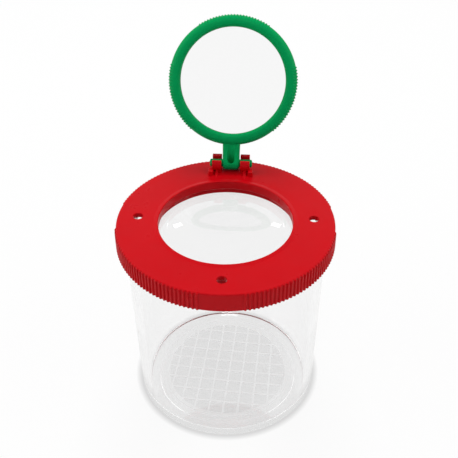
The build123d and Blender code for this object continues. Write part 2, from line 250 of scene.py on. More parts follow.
class Finishes(PropertyGroup):
    """Colours and gloss of the plastics."""

    red: colour("Red", "Colour of the lid", (0.60, 0.002, 0.007))
    green: colour("Green", "Colour of the magnifier's frame", (0.001, 0.36, 0.098))
    clear: colour("Clear", "Tint of the jar", (0.955, 0.955, 0.955))
    square: colour("Square", "Tint of the jar in the squares of its grid", (0.82, 0.82, 0.82))
    shade: colour("Shade", "Tint of the jar for light caught in its edges", (0.92, 0.92, 0.92))
    shadow: colour("Shadow", "Tint that the jar gives to lamp light", (0.85, 0.85, 0.85))
    lens: colour("Lens", "Tint of the lenses", (0.925, 0.925, 0.925))
    satin: share("Satin", "Roughness of the coloured plastics", 0.32)
    red_gloss: share("Red gloss", "Strength of the gloss on the lid", 0.10)
    green_gloss: share("Green gloss", "Strength of the gloss on the magnifier's frame", 0.04)
    clear_index: FloatProperty(name="Clear index", description="Refractive index", default=1.49, min=1.0)


class StageSizes(PropertyGroup):
    """Camera, floor and even light."""

    camera_place: FloatVectorProperty(
        name="Camera place",
        description="Where the camera stands",
        default=(15.58 * MM, -212.51 * MM, 233.63 * MM),
        subtype="TRANSLATION",
    )
    camera_pan: turn("Camera pan", "Turn of the camera about the upright", 3.893)
    camera_dip: turn("Camera dip", "How far the camera looks down", 38.115)
    camera_roll: turn("Camera roll", "Turn of the camera about its view", 0.472)
    camera_lens: FloatProperty(
        name="Camera lens", description="Focal length in millimetres", default=64.44, min=1.0
    )
    floor_side: length("Floor side", "Side of the floor", 6.0)
    floor_drop: length("Floor drop", "How far the floor lies below the jar", 0.02 * MM)
    floor_white: share("Floor white", "Share of plain white in the floor that the camera sees", 0.9)
    # Painted shadow on the floor: how white it stays under the jar and at the jar's edge, and where that
    # painted shadow starts, is darkest and ends
    floor_shade: share("Floor shade", "How white the floor under the jar is", 0.86)
    contact_shade: share("Contact shade", "How white the floor is at the edge of the jar", 0.69)
    contact_start: length("Contact start", "How far inside the jar's edge the floor darkens", 0.4 * MM)
    contact_edge: length("Contact edge", "How far outside that edge it starts to clear", 0.2 * MM)
    contact_end: length("Contact end", "How far outside that edge it is white again", 2.4 * MM)
    fill: share("Fill", "Strength of the even light from all round", 0.25)


class BugJar(PropertyGroup):
    """All that a user can change."""

    jar: PointerProperty(type=JarSizes)
    lid: PointerProperty(type=LidSizes)
    hinge: PointerProperty(type=HingeSizes)
    magnifier: PointerProperty(type=MagnifierSizes)
    lenses: PointerProperty(type=LensSizes)
    finishes: PointerProperty(type=Finishes)
    stage: PointerProperty(type=StageSizes)


# Outlines


def rounded(corners, steps=ROUND_STEPS):
    """Points of a closed outline from (across, up, round) corners."""
    spots = [Vector(corner[:2]) for corner in corners]
    points = []
    for i, (_, _, radius) in enumerate(corners):
        if radius <= 0:
            points.append(spots[i])
            continue
        back = (spots[i - 1] - spots[i]).normalized()
        ahead = (spots[(i + 1) % len(spots)] - spots[i]).normalized()
        half = back.angle(ahead) / 2
        middle = spots[i] + (back + ahead).normalized() * (radius / sin(half))
        spoke = spots[i] + back * (radius / tan(half)) - middle
        sweep = pi - 2 * half
        if back.x * ahead.y - back.y * ahead.x > 0:
            sweep = -sweep
        for step in range(steps + 1):
            points.append(middle + Matrix.Rotation(sweep * step / steps, 2) @ spoke)
    return points


def arc(middle, radius, start, finish, steps):
    """Points of an arc, from one angle to another."""
    angles = [start + (finish - start) * step / steps for step in range(steps + 1)]
    return [Vector((middle[0] + radius * cos(a), middle[1] + radius * sin(a))) for a in angles]


def circle(middle, radius, columns):
    """Points of a full circle."""
    return arc(middle, radius, 0, 2 * pi, columns)[:-1]


def area(points):
    """Area of a closed outline, positive if it runs anticlockwise."""
    return sum(a.x * b.y - a.y * b.x for a, b in zip(points[-1:] + points[:-1], points)) / 2


def inset(points, amount):
    """A closed outline with every side moved inwards."""
    way = 1 if area(points) > 0 else -1
    moved = []
    for i, point in enumerate(points):
        before = (point - points[i - 1]).normalized()
        after = (points[(i + 1) % len(points)] - point).normalized()
        left, right = Vector((-before.y, before.x)), Vector((-after.y, after.x))
        moved.append(point + (left + right) * (way * amount / (1 + left.dot(right))))
    return moved


def quarter_round(radius, steps):
    """Steps round a quarter circle: how far each lies from its start and from its end."""
    turns = [pi / 2 * step / steps for step in range(steps + 1)]
    return [(radius * (1 - cos(t)), radius * (1 - sin(t))) for t in turns]


def half_round(middle, half, height):
    """(angle, lift) steps over one rounded rib of a grip."""
    turns = [pi * step / RIB_STEPS for step in range(RIB_STEPS + 1)]
    return [(middle - half * cos(t), height * sin(t)) for t in turns]


def soft_levels(low, high, soft):
    """(level, inset) pairs of a prism whose two ends are rounded."""
    ends = quarter_round(soft, SOFT_STEPS)
    lower = [(low + rise, amount) for rise, amount in ends]
    return lower + [(high - rise, amount) for rise, amount in reversed(ends)]


def laid_at(outline, height):
    """An outline laid flat at a height."""
    return [Vector((point.x, point.y, height)) for point in outline]


# Meshes


def placed(name, data):
    """A new object in the scene."""
    thing = bpy.data.objects.new(name, data)
    bpy.context.scene.collection.objects.link(thing)
    return thing


def solid(name, points, faces):
    """A new closed mesh object with its faces turned outwards."""
    mesh = bpy.data.meshes.new(name)
    mesh.from_pydata(points, [], faces)
    shape = bmesh.new()
    shape.from_mesh(mesh)
    bmesh.ops.recalc_face_normals(shape, faces=shape.faces)
    shape.to_mesh(mesh)
    shape.free()
    return placed(name, mesh)


def skin(rings):
    """Points and faces of a closed skin over rings of as many points each, with flat ends."""
    count = len(rings[0])
    points = [point for ring in rings for point in ring]
    faces = [tuple(range(count)), tuple(range(len(points) - count, len(points)))]
    for row in range(len(rings) - 1):
        for i in range(count):
            j = (i + 1) % count
            low, high = row * count, (row + 1) * count
            faces.append((low + i, low + j, high + j, high + i))
    return points, faces


def loft(name, rings):
    """A closed skin as an object."""
    return solid(name, *skin(rings))


def prism(name, outline, low, high, soft, axes):
    """An outline run from low to high along the third of its axes, with softened ends."""
    levels = soft_levels(low, high, soft)
    rings = [[axes @ point.to_3d() for point in inset(outline, amount)] for _, amount in levels]
    way = axes.to_3x3() @ Vector((0, 0, 1))
    placed = [[point + way * level for point in ring] for (level, _), ring in zip(levels, rings)]
    return loft(name, placed)


def turned(name, section, angles, reach=None):
    """A half section spun about Z. reach(point, column) adds to the radius."""
    points, faces, rings = [], [], []
    for place, (radius, height) in enumerate(section):
        if radius <= 0:
            rings.append(None)
            continue
        rings.append(len(points))
        for column, angle in enumerate(angles):
            out = radius + (reach(place, column) if reach else 0.0)
            points.append((out * cos(angle), out * sin(angle), height))
    count = len(angles)
    for place in range(len(section)):
        here, there = rings[place], rings[(place + 1) % len(section)]
        if here is None and there is None:
            continue
        if here is None or there is None:
            axis = section[place] if here is None else section[(place + 1) % len(section)]
            ring = there if here is None else here
            if abs(points[ring][2] - axis[1]) < LEVEL:
                faces.append(tuple(ring + i for i in range(count)))
                continue
            points.append((0.0, 0.0, axis[1]))
            faces += [(len(points) - 1, ring + i, ring + (i + 1) % count) for i in range(count)]
            continue
        for i in range(count):
            j = (i + 1) % count
            faces.append((here + i, here + j, there + j, there + i))
    return solid(name, points, faces)


def even_angles(count):
    """Angles that divide a full turn."""
    return [2 * pi * i / count for i in range(count)]


def copied(piece, matrix):
    """A second piece, placed by a matrix. A mirrored one has its faces turned back out."""
    mesh = piece.data.copy()
    mesh.transform(matrix)
    if matrix.determinant() < 0:
        mesh.flip_normals()
    return placed(piece.name + "_copy", mesh)


def combined(base, others, operation):
    """Fuse pieces to a base or cut them out of it, and delete them."""
    for other in others:
        step = base.modifiers.new(other.name, "BOOLEAN")
        step.object = other
        step.operation = operation
        step.solver = "EXACT"
    seen = base.evaluated_get(bpy.context.evaluated_depsgraph_get())
    mesh = bpy.data.meshes.new_from_object(seen)
    base.modifiers.clear()
    base.data = mesh
    for other in others:
        bpy.data.objects.remove(other)
    return base


def dressed(piece, name, node, body, material):
    """Shade a finished piece, give it its plastic, and let it stand for its CAD node."""
    piece.name = name
    piece.data.name = name
    piece.data.materials.clear()
    piece.data.materials.append(material)
    piece.data.shade_smooth()
    piece.data.set_sharp_from_angle(angle=SHARP_ANGLE)
    normals = piece.modifiers.new("even_normals", "WEIGHTED_NORMAL")
    normals.keep_sharp = True
    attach(piece, body)
    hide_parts(node)
    return piece


# Plastics

# Patterns in the plastics: waves to the metre, and how deep they are
FLOW_SCALE = 60.0
FLOW_DEPTH = 0.05 * MM
GRAIN_SCALE = 2600.0
GRAIN_DEPTH = 0.006 * MM
SCRATCH_SCALE = 900.0
SCRATCH_DEPTH = 0.003 * MM
SCRATCH_STRETCH = (0.08, 1.0, 1.0)
RIPPLE_SCALE = 40.0
RIPPLE_DEPTH = 0.006 * MM
HANDLING_SCALE = 240.0
HAZE_SCALE = 120.0

# Share of the colour where flow clouds are darkest and lightest
FLOW_DARK = 0.93
FLOW_LIGHT = 1.06

# How much smoother and rougher handling makes satin plastic
POLISHED = 0.05
WORN = 0.07

# Roughness of clear plastic where it is hazy, and the stretch of the pattern where haze comes up
HAZE = 0.04
HAZE_START = 0.45
HAZE_END = 0.8

# Light that is mirrored in the jar or a lens, or crosses faces, more often than this goes straight on
JAR_MIRRORS = 1.5
LENS_MIRRORS = 0.5
CROSSINGS = 8.5


def new_plastic(name):
    """A material, its surface shader and the place on the piece, for the patterns."""
    material = bpy.data.materials.new(name)
    material.use_nodes = True
    nodes = material.node_tree.nodes
    return material, nodes["Principled BSDF"], nodes.new("ShaderNodeTexCoord").outputs["Object"]


def wire(tree, node, inputs):
    """Set each of a node's inputs to a value, or join it to another node's output."""
    for socket, value in inputs.items():
        if isinstance(value, bpy.types.NodeSocket):
            tree.links.new(value, node.inputs[socket])
        else:
            node.inputs[socket].default_value = value
    return node


def clouds(tree, place, scale, detail=2.0, stretch=None):
    """Soft noise of so many waves to the metre, drawn out by stretch."""
    if stretch:
        drawn = wire(tree, tree.nodes.new("ShaderNodeMapping"), {"Vector": place, "Scale": stretch})
        place = drawn.outputs["Vector"]
    noise = tree.nodes.new("ShaderNodeTexNoise")
    wire(tree, noise, {"Vector": place, "Scale": scale, "Detail": detail})
    return noise.outputs["Fac"]


def spread(tree, value, low, high, start=0.3, end=0.7):
    """A pattern's middle stretch carried over to other limits."""
    limits = {"Value": value, "From Min": start, "From Max": end, "To Min": low, "To Max": high}
    return wire(tree, tree.nodes.new("ShaderNodeMapRange"), limits).outputs["Result"]


def relief(tree, height, depth, below=None):
    """A normal that follows a pattern as if it were so deep."""
    bump = wire(tree, tree.nodes.new("ShaderNodeBump"), {"Height": height, "Distance": depth})
    if below:
        tree.links.new(below, bump.inputs["Normal"])
    return bump.outputs["Normal"]


def between(tree, pattern, dark, light):
    """A colour that wanders between two with a pattern."""
    blend = tree.nodes.new("ShaderNodeMix")
    blend.data_type = "RGBA"
    wire(tree, blend, {"Factor": pattern, "A": (*dark, 1.0), "B": (*light, 1.0)})
    return blend.outputs["Result"]


def reckoned(tree, operation, *values):
    """The result of one sum on values and other nodes' outputs."""
    node = tree.nodes.new("ShaderNodeMath")
    node.operation = operation
    return wire(tree, node, dict(enumerate(values))).outputs["Value"]


def either(tree, *values):
    """The greatest of several values."""
    found = values[0]
    for value in values[1:]:
        found = reckoned(tree, "MAXIMUM", found, value)
    return found


def from_axis(tree, place):
    """Distance from the jar's axis."""
    flat = tree.nodes.new("ShaderNodeVectorMath")
    flat.operation = "MULTIPLY"
    wire(tree, flat, {0: place, 1: (1.0, 1.0, 0.0)})
    reach = tree.nodes.new("ShaderNodeVectorMath")
    reach.operation = "LENGTH"
    return wire(tree, reach, {0: flat.outputs["Vector"]}).outputs["Value"]


def within(tree, place, middle, margin, radius):
    """1 near a height and inside a radius, else 0."""
    parts = wire(tree, tree.nodes.new("ShaderNodeSeparateXYZ"), {"Vector": place})
    level = reckoned(tree, "COMPARE", parts.outputs["Z"], middle, margin)
    inside = reckoned(tree, "LESS_THAN", from_axis(tree, place), radius)
    return reckoned(tree, "MULTIPLY", level, inside)


def even_shader(tree, kind, tone):
    """A shader of one even colour."""
    return wire(tree, tree.nodes.new(kind), {"Color": (*tone, 1.0)}).outputs["BSDF"]


def blended(tree, part, first, second):
    """One shader where a part is 0, and another where it is 1."""
    mix = wire(tree, tree.nodes.new("ShaderNodeMixShader"), {"Fac": part, 1: first, 2: second})
    return mix.outputs["Shader"]


def satin_plastic(name, tone, roughness, gloss):
    """Moulded, coloured plastic: faint flow clouds, a fine satin grain and hair scratches."""
    material, surface, place = new_plastic(name)
    tree = material.node_tree
    flow = clouds(tree, place, FLOW_SCALE, detail=3.0)
    handling = clouds(tree, place, HANDLING_SCALE, detail=4.0)
    hairs = clouds(tree, place, SCRATCH_SCALE, detail=1.0, stretch=SCRATCH_STRETCH)
    grain = relief(tree, clouds(tree, place, GRAIN_SCALE), GRAIN_DEPTH)
    wave = relief(tree, flow, FLOW_DEPTH, grain)
    dark = [FLOW_DARK * part for part in tone]
    light = [min(1.0, FLOW_LIGHT * part) for part in tone]
    wire(tree, surface, {
        "Base Color": between(tree, flow, dark, light),
        "Roughness": spread(tree, handling, roughness - POLISHED, roughness + WORN),
        "Normal": relief(tree, hairs, SCRATCH_DEPTH, wave),
        "Specular IOR Level": gloss,
    })
    return material


def clear_plastic(name, tint, shade, shadow, mirrors, index):
    """Clear moulded plastic: slightly wavy faces with faint handling haze. It lets lamps through."""
    material, surface, place = new_plastic(name)
    tree = material.node_tree
    handling = clouds(tree, place, HAZE_SCALE, detail=4.0)
    ripple = clouds(tree, place, RIPPLE_SCALE, detail=1.0)
    wire(tree, surface, {
        "Base Color": (*tint, 1.0),
        "Transmission Weight": 1.0,
        "IOR": index,
        "Roughness": spread(tree, handling, 0.0, HAZE, HAZE_START, HAZE_END),
        "Normal": relief(tree, ripple, RIPPLE_DEPTH),
    })
    path = tree.nodes.new("ShaderNodeLightPath").outputs
    mirrored = reckoned(tree, "GREATER_THAN", path["Glossy Depth"], mirrors)
    crossed = reckoned(tree, "GREATER_THAN", path["Transmission Depth"], CROSSINGS)
    dull = even_shader(tree, "ShaderNodeBsdfTransparent", shade)
    caught = blended(tree, either(tree, mirrored, crossed), surface.outputs["BSDF"], dull)
    from_lamp = either(tree, path["Is Shadow Ray"], path["Is Diffuse Ray"])
    lit = even_shader(tree, "ShaderNodeBsdfTransparent", shadow)
    passed = blended(tree, from_lamp, caught, lit)
    tree.links.new(passed, tree.nodes["Material Output"].inputs["Surface"])
    return material


# Jar


def jar_section(jar):
    """Half section of the beaker, with the grid as a raised disc on its floor."""
    foot_inner = jar.base_radius - jar.foot_width
    slope = (jar.rim_radius - jar.base_radius) / jar.height
    inside = jar.base_radius + slope * jar.floor_top - jar.wall
    rim_round = min(jar.rim_round, jar.wall / 3)
    ring_outer = jar.grid_radius + jar.grid_ring
    raised = jar.floor_top + jar.line_height
    return rounded([
        (0.0, jar.foot_height, 0.0),
        (foot_inner, jar.foot_height, jar.foot_round),
        (foot_inner, 0.0, jar.foot_round),
        (jar.base_radius, 0.0, jar.base_round),
        (jar.rim_radius, jar.height, rim_round),
        (jar.rim_radius - jar.wall, jar.height, rim_round),
        (inside, jar.floor_top, jar.corner_round),
        (ring_outer, jar.floor_top, 0.0),
        (ring_outer, raised, jar.line_round),
        (0.0, raised, 0.0),
    ])


def clipped(points, normal, limit):
    """The part of a rounded-out outline on one side of a line."""
    kept = []
    for i, point in enumerate(points):
        before = points[i - 1]
        here, there = normal.dot(point) - limit, normal.dot(before) - limit
        if (here > 0) != (there > 0):
            kept.append(before.lerp(point, there / (there - here)))
        if here <= 0:
            kept.append(point)
    return [point for i, point in enumerate(kept) if (point - kept[i - 1]).length > NEAR]


def grid_spans(jar, start):
    """(low, high) limits of the squares between grid lines counted from a start."""
    reach = jar.grid_radius - jar.line_width
    steps = int(reach / jar.grid_pitch) + 1
    lines = [start + jar.grid_pitch * step for step in range(-steps, steps + 1)]
    lines = [place for place in lines if abs(place) < reach]
    half = jar.line_width / 2
    lows = [-jar.grid_radius] + [place + half for place in lines]
    highs = [place - half for place in lines] + [jar.grid_radius]
    return list(zip(lows, highs))


def grid_square(jar, across, along):
    """Outline of one square between the grid lines, cut to the ring around them."""
    points = circle((0, 0), jar.grid_radius, PLAIN_COLUMNS)
    points = clipped(points, Vector((1, 0)), across[1])
    points = clipped(points, Vector((-1, 0)), -across[0])
    points = clipped(points, Vector((0, 1)), along[1])
    return clipped(points, Vector((0, -1)), -along[0])


def grid_pockets(jar):
    """One mesh of all the squares, to cut out of the raised disc."""
    soft = jar.line_round
    raised = jar.floor_top + jar.line_height
    levels = [(raised + OVERRUN, -soft)]
    levels += [(raised - drop, -amount) for drop, amount in quarter_round(soft, SOFT_STEPS)]
    levels.append((jar.floor_top, 0.0))
    points, faces = [], []
    for across in grid_spans(jar, jar.grid_across):
        for along in grid_spans(jar, jar.grid_along):
            outline = grid_square(jar, across, along)
            if len(outline) < 3 or area(outline) < jar.line_width ** 2:
                continue
            more, sides = skin([laid_at(inset(outline, amount), height) for height, amount in levels])
            faces += [tuple(corner + len(points) for corner in side) for side in sides]
            points += more
    pockets = solid("grid_pockets", points, faces)
    pockets.data.transform(Matrix.Rotation(jar.grid_turn, 4, "Z"))
    return pockets


def shade_squares(plastic, finishes, jar):
    """Dull the plastic in the squares of the grid, so that its lines stand out pale."""
    tree = plastic.node_tree
    place = tree.nodes["Texture Coordinate"].outputs["Object"]
    squares = within(tree, place, jar.floor_top, jar.line_height / 4, jar.grid_radius)
    tone = between(tree, squares, finishes.clear, finishes.square)
    tree.links.new(tone, tree.nodes["Principled BSDF"].inputs["Base Color"])


def make_jar(settings):
    """The beaker with its foot ring, and the measuring grid raised on its floor."""
    jar = settings.jar
    beaker = turned("beaker", jar_section(jar), even_angles(2 * PLAIN_COLUMNS))
    combined(beaker, [grid_pockets(jar)], "DIFFERENCE")
    finishes = settings.finishes
    plastic = clear_plastic(
        "clear_jar", finishes.clear, finishes.shade, finishes.shadow, JAR_MIRRORS, finishes.clear_index
    )
    shade_squares(plastic, finishes, jar)
    return dressed(beaker, "clear_beaker", "jar", "jar", plastic)


# Lid

# How finely a clip's bore, front jaw and rear curve and the air holes are cut
BORE_STEPS = 28
JAW_STEPS = 14
REAR_STEPS = 8
HOLE_COLUMNS = 40

# How much the upper face of a snap bead falls from the seat to the bead's edge
BEAD_LIP = 0.01 * MM


def lid_top(settings):
    """Height of the lid's plate, which rests on the jar's rim."""
    return settings.jar.height + settings.lid.plate


def grip_columns(lid):
    """(angle, lift) steps round the skirt: half-round ribs between plain pads."""
    one_side = [lid.pad_angle / 2 + lid.rib_pitch * rib for rib in range(lid.front_ribs)]
    one_side += [lid.side_angle + lid.pad_angle / 2 + lid.rib_pitch * rib for rib in range(lid.back_ribs)]
    ribs = [-angle for angle in reversed(one_side)] + one_side
    half = lid.rib_width / 2 / lid.skirt_radius
    columns = []
    for i, middle in enumerate(ribs):
        columns += half_round(lid.front_angle + middle, half, lid.rib_height)
        following = ribs[i + 1] if i + 1 < len(ribs) else ribs[0] + 2 * pi
        gap = following - middle - 2 * half
        steps = int(gap / lid.rib_pitch)
        for step in range(1, steps):
            columns.append((lid.front_angle + middle + half + gap * step / steps, 0.0))
    return columns


def lid_shell(settings):
    """Plate, ribbed skirt and lens seat, spun in one piece with the snap beads."""
    lid = settings.lid
    top = lid_top(settings)
    under = top - lid.plate
    ledge = top - lid.lens_depth
    inner = settings.jar.rim_radius + lid.clearance
    seat = settings.lenses.lid_radius + lid.seat_gap
    seat_outer = seat + lid.seat_wall
    bead_top = ledge - settings.lenses.lid_edge - lid.seat_gap
    bead_edge = bead_top - BEAD_LIP
    section = rounded([
        (lid.opening_radius, top + lid.rim_rise, lid.opening_round),
        (lid.opening_radius + lid.rim_width, top, lid.rim_flow),
        (lid.skirt_radius, top, lid.edge_round),
        (lid.skirt_radius, top - (lid.edge_round + lid.rib_fade) / 2, 0.0),
        (lid.skirt_radius, top - lid.rib_fade, 0.0),
        (lid.skirt_radius, lid.bottom, lid.lip_round),
        (inner, lid.bottom, lid.lip_round),
        (inner, under, lid.lip_round),
        (seat_outer, under, lid.lip_round),
        (seat_outer, lid.bottom, lid.lip_round),
        (seat, lid.bottom, lid.lip_round),
        (seat, bead_top - lid.bead_height, 0.0),
        (seat, bead_edge, 0.0),
        (seat, bead_top, 0.0),
        (seat, ledge, 0.0),
        (lid.opening_radius, ledge, lid.ledge_round),
    ])
    columns = grip_columns(lid)
    spacing = 2 * pi / max(1, lid.beads)
    skirt_side = lid.skirt_radius - max(lid.edge_round, lid.lip_round)

    def reach(place, column):
        angle, lift = columns[column]
        radius, height = section[place]
        if abs(height - bead_edge) < BEAD_LIP / 2:
            off = abs(angle % spacing - spacing / 2)
            return -lid.bead_depth if lid.beads and off < lid.bead_arc / 2 else 0.0
        if radius <= skirt_side:
            return 0.0
        drop = 1 - min(1.0, (top - height) / lid.rib_fade)
        return lift * sqrt(1 - drop ** 2)

    return turned("lid_shell", section, [angle for angle, _ in columns], reach)


def sharp(points):
    """Points as the corners of an outline, without rounding."""
    return [(*point, 0.0) for point in points]


def clip_outline(hinge, low):
    """Side view of a snap clip about the pin: a front jaw and a rear post round the bore, on a stem."""
    bore = hinge.pin_radius + hinge.pin_fit
    outer = bore + hinge.clip_wall
    mouth = hinge.clip_mouth / 2
    stem = hinge.clip_stem / 2
    lip = atan2(sqrt(bore ** 2 - mouth ** 2), mouth)
    waist = atan2(sqrt(outer ** 2 - stem ** 2), stem)
    jaw = atan2(hinge.jaw_rise, sqrt(outer ** 2 - hinge.jaw_rise ** 2))
    corners = sharp(arc((0, 0), bore, pi - lip, 2 * pi + lip, BORE_STEPS))
    corners += [(mouth, hinge.post_rise, hinge.corner), (outer, hinge.post_rise, hinge.corner)]
    corners += sharp(arc((0, 0), outer, 0, -waist, REAR_STEPS))
    corners += [(stem, low, 0.0), (-stem, low, 0.0)]
    corners += sharp(arc((0, 0), outer, pi + waist, pi - jaw, JAW_STEPS)[:-1])
    corners += [(-outer * cos(jaw), hinge.jaw_rise, hinge.corner), (-mouth, hinge.jaw_rise, hinge.corner)]
    return rounded(corners)


def clip_inside(settings):
    """Distance of a clip's inner face from the middle of the arm."""
    arm = settings.magnifier
    return arm.arm_width / 2 + arm.arm_flare + settings.hinge.side_gap


def hinge_clip(settings):
    """One snap clip with the rib that props it and the block beside it, on the arm's +X side."""
    hinge = settings.hinge
    top = lid_top(settings)
    inside = clip_inside(settings)
    outside = inside + hinge.clip_width
    at_pin = Matrix.Translation((0, PIN.y, PIN.z)) @ ALONG_X
    low = top - PIN.z
    clip = prism("clip", clip_outline(hinge, low - OVERRUN), inside, outside, hinge.soft, at_pin)
    foot = low - OVERRUN / 2
    root = hinge.clip_stem / 4
    peak = low + hinge.gusset_rise
    web_corners = [(-hinge.gusset_front, foot), (hinge.gusset_rear, foot), (root, peak), (-root, peak)]
    web_outline = [Vector(corner) for corner in web_corners]
    middle = (inside + outside) / 2
    half = hinge.gusset_width / 2
    web = prism("web", web_outline, middle - half, middle + half, hinge.soft, at_pin)
    block_outline = rounded([
        (outside - OVERRUN, -hinge.block_front, hinge.corner),
        (outside + hinge.block_width, -hinge.block_front, hinge.corner),
        (outside + hinge.block_width, -hinge.block_rear, hinge.corner),
        (outside - OVERRUN, -hinge.block_rear, hinge.corner),
    ])
    on_plate = Matrix.Translation((0, PIN.y, 0))
    block = prism("block", block_outline, top - OVERRUN, top + hinge.block_height, hinge.soft, on_plate)
    return combined(clip, [web, block], "UNION")


def air_hole(settings, angle):
    """The cut of one air hole, flared at both faces so that its edges are rounded."""
    lid = settings.lid
    top = lid_top(settings)
    flare = lid.hole_round
    ends = quarter_round(flare, ROUND_STEPS)
    levels = [(flare, top + OVERRUN)]
    levels += [(wide, top - drop) for wide, drop in reversed(ends)]
    levels += [(wide, top - lid.plate + rise) for wide, rise in ends]
    levels.append((flare, top - lid.plate - OVERRUN))
    spot = Vector((lid.hole_circle * cos(angle), lid.hole_circle * sin(angle)))
    rings = []
    for wide, height in levels:
        rings.append(laid_at(circle(spot, lid.hole_radius + wide, HOLE_COLUMNS), height))
    return loft("air_hole", rings)


def make_lid(settings):
    """The ribbed lid with its air holes and the two hinge clips."""
    sizes = settings.lid
    lid = lid_shell(settings)
    clip = hinge_clip(settings)
    twin = copied(clip, Matrix.Scale(-1, 4, (1, 0, 0)))
    combined(lid, [clip, twin], "UNION")
    angles = [sizes.front_angle + side * sizes.side_angle for side in (0, 1, -1)]
    combined(lid, [air_hole(settings, angle) for angle in angles], "DIFFERENCE")
    finishes = settings.finishes
    plastic = satin_plastic("red_plastic", finishes.red, finishes.satin, finishes.red_gloss)
    return dressed(lid, "ribbed_lid", "lid", "lid", plastic)


# Lenses

# How finely the domed faces are cut
DOME_STEPS = 24


def dome(radius, crown):
    """Points of a domed face, from its middle to its edge at height 0."""
    curve = (radius ** 2 + crown ** 2) / (2 * crown)
    spots = [radius * step / DOME_STEPS for step in range(DOME_STEPS + 1)]
    return [Vector((r, crown - curve + sqrt(curve ** 2 - r ** 2))) for r in spots]


def lens_section(radius, edge, crown, belly, flat, soft):
    """Half section of a lens with two domed faces and a flat rim."""
    rim = edge / 2
    inner = radius - flat
    upper = [Vector((point.x, rim + point.y)) for point in dome(inner, crown)]
    lower = [Vector((point.x, -rim - point.y)) for point in reversed(dome(inner, belly))]
    corners = [(inner, rim, 0.0), (radius, rim, soft), (radius, -rim, soft), (inner, -rim, 0.0)]
    return upper[:-1] + rounded(corners, SOFT_STEPS) + lower[1:]


def opened():
    """The magnifier's place at rest: about the pin, swung open from lying on the lid."""
    return Matrix.Translation(PIN) @ Matrix.Rotation(-OPEN_ANGLE, 4, "X")


def make_lenses(settings):
    """The lens in the lid and the lens in the magnifier."""
    sizes, finishes = settings.lenses, settings.finishes
    plastic = clear_plastic(
        "clear_lens", finishes.lens, finishes.lens, finishes.lens, LENS_MIRRORS, finishes.clear_index
    )
    soft = sizes.rim_round
    section = lens_section(
        sizes.lid_radius, sizes.lid_edge, sizes.lid_crown, sizes.lid_belly, sizes.lid_flat, soft
    )
    lid_lens = turned("lid_lens_blank", section, even_angles(PLAIN_COLUMNS))
    middle = lid_top(settings) - settings.lid.lens_depth - sizes.lid_edge / 2
    lid_lens.data.transform(Matrix.Translation((0, 0, middle)))
    dressed(lid_lens, "viewing_lens", "lid_lens", "lid", plastic)
    crown = sizes.glass_crown
    section = lens_section(sizes.glass_radius, sizes.glass_edge, crown, crown, sizes.glass_flat, soft)
    glass = turned("glass_blank", section, even_angles(PLAIN_COLUMNS))
    glass.data.transform(opened() @ Matrix.Translation((0, -settings.magnifier.arm_length, 0)))
    dressed(glass, "magnifier_glass", "magnifier_lens", "magnifier", plastic)


# Magnifier

# Knurl zones: the middle of each, counted from the +X side of the ring, and its teeth
KNURL_ZONES = ((radians(-90), 25), (radians(18), 24), (radians(162), 24))

# How finely the ring's edges, the arm, its slot and the pin are cut
RING_STEPS = 8
ARM_STEPS = 12
SLOT_STEPS = 10
SLOT_END_STEPS = 6
PIN_COLUMNS = 48

# Angle over which the heel is skinned, short of its flat end
HEEL_TURN = radians(84)

# Most that a rounding takes of the arm's half thickness and of the slot's half width
ARM_ROUND_SHARE = 0.9
SLOT_ROUND_SHARE = 0.8

# How suddenly the slot's floor drops into the pit
PIT_POWER = 3


def ring_outer(sizes):
    """Outside radius of the ring between its teeth."""
    return sizes.ring_inner + sizes.ring_width


def knurl_columns(sizes):
    """(angle, lift) steps round the ring: rounded teeth in zones, plain between them."""
    half = sizes.knurl_width / 2 / ring_outer(sizes)
    columns = []
    ends = []
    for middle, teeth in KNURL_ZONES:
        first = middle - sizes.knurl_step * (teeth - 1) / 2
        for tooth in range(teeth):
            columns += half_round(first + sizes.knurl_step * tooth, half, sizes.knurl_height)
        ends.append((first - half, columns[-1][0]))
    for i, (_, finish) in enumerate(ends):
        start = ends[(i + 1) % len(ends)][0]
        while start < finish:
            start += 2 * pi
        steps = max(2, int((start - finish) * PLAIN_COLUMNS / (2 * pi)))
        columns += [(finish + (start - finish) * step / steps, 0.0) for step in range(1, steps)]
    return sorted(((angle + pi) % (2 * pi) - pi, lift) for angle, lift in columns)


def magnifier_ring(settings):
    """The knurled ring with the groove for its lens."""
    sizes = settings.magnifier
    outer = ring_outer(sizes)
    half = sizes.ring_thickness / 2
    groove = settings.lenses.glass_edge / 2 + sizes.groove_gap / 2
    groove_radius = settings.lenses.glass_radius + sizes.groove_gap
    section = rounded([
        (sizes.ring_inner, -half, sizes.inner_round),
        (outer, -half, sizes.outer_round),
        (outer, half, sizes.outer_round),
        (sizes.ring_inner, half, sizes.inner_round),
        (sizes.ring_inner, groove, 0.0),
        (groove_radius, groove, 0.0),
        (groove_radius, -groove, 0.0),
        (sizes.ring_inner, -groove, 0.0),
    ], RING_STEPS)
    columns = knurl_columns(sizes)
    edge_start = outer - sizes.outer_round

    def reach(place, column):
        out = section[place].x - edge_start
        return columns[column][1] * (out / sizes.outer_round) ** 2 if out > 0 else 0.0

    ring = turned("ring", section, [angle for angle, _ in columns], reach)
    ring.data.transform(Matrix.Translation((0, -sizes.arm_length, 0)))
    return ring


def across_arm(corners, along):
    """A rounded cross section of the arm, so far along it from the pin."""
    return [Vector((point.x, along, point.y)) for point in rounded(corners)]


